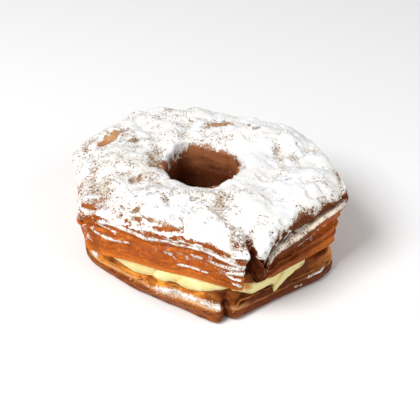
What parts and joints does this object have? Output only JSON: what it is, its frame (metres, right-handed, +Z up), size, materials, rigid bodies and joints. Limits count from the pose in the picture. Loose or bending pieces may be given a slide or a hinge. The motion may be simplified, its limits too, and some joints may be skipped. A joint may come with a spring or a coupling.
{
  "type": "cronut",
  "caption": "Six-cornered ring of fried laminated croissant dough, split level, filled with pastry cream and dusted with powdered sugar.",
  "frame": {"origin": "middle of the footprint's bounding rectangle, on the underside of the base", "axes": "+Z up out of the crown, -Y towards the open corner seam at the front, +X to the right of that side"},
  "size_m": [0.0961, 0.0869, 0.0393],
  "materials": {
    "sugared_crust": "powdered sugar over golden brown leaves, matte",
    "fried_crust": "fried laminated dough, satin brown with a golden torn edge",
    "pastry_cream": "set custard cream, soft gloss"
  },
  "bodies": {
    "root": {"base_pastry": "fried_crust", "cream_filling": "pastry_cream", "lid_pastry": "sugared_crust"}
  },
  "joints": []
}
